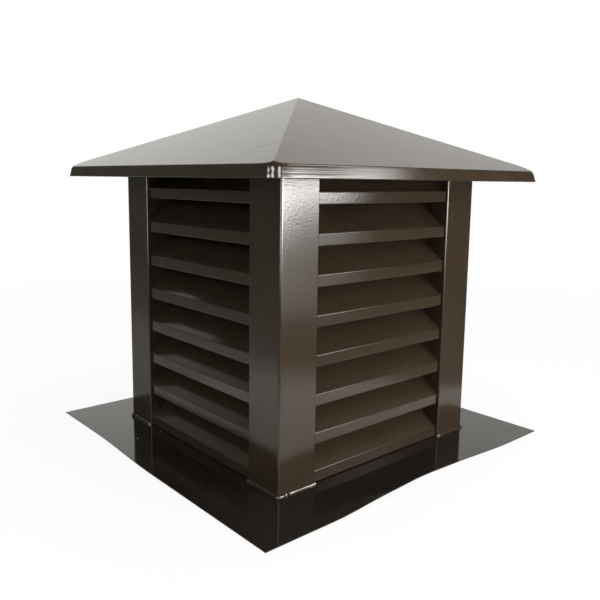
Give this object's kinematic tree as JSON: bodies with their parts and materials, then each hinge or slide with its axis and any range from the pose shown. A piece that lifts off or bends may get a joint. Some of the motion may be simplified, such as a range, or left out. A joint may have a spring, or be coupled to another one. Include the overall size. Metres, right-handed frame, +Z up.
{
  "type": "louvred chimney cap",
  "caption": "Square sheet-metal chimney cap: a low hipped roof on folded corner posts, with sloping louvre slats on every side and a flat base plate round the flue opening.",
  "frame": {"origin": "middle of the base plate's underside", "axes": "+Z up along the flue's axis; -Y faces the front bank of slats, +X the right one"},
  "size_m": [0.574, 0.574, 0.5426],
  "materials": {
    "plate_paint": "gloss",
    "body_paint": "gloss",
    "roof_paint": "gloss",
    "bead_paint": "gloss"
  },
  "bodies": {
    "root": {"base_plate": "plate_paint", "roof": "roof_paint", "post_front_left": "body_paint", "post_front_right": "body_paint", "post_back_right": "body_paint", "post_back_left": "body_paint", "front_slat_1": "body_paint", "front_slat_2": "body_paint", "front_slat_3": "body_paint", "front_slat_4": "body_paint", "front_slat_5": "body_paint", "front_slat_6": "body_paint", "front_slat_7": "body_paint", "front_slat_8": "body_paint", "right_slat_1": "body_paint", "right_slat_2": "body_paint", "right_slat_3": "body_paint", "right_slat_4": "body_paint", "right_slat_5": "body_paint", "right_slat_6": "body_paint", "right_slat_7": "body_paint", "right_slat_8": "body_paint", "back_slat_1": "body_paint", "back_slat_2": "body_paint", "back_slat_3": "body_paint", "back_slat_4": "body_paint", "back_slat_5": "body_paint", "back_slat_6": "body_paint", "back_slat_7": "body_paint", "back_slat_8": "body_paint", "left_slat_1": "body_paint", "left_slat_2": "body_paint", "left_slat_3": "body_paint", "left_slat_4": "body_paint", "left_slat_5": "body_paint", "left_slat_6": "body_paint", "left_slat_7": "body_paint", "left_slat_8": "body_paint", "bead_front_left": "bead_paint", "bead_front_right": "bead_paint", "bead_back_right": "bead_paint", "bead_back_left": "bead_paint"}
  },
  "joints": []
}
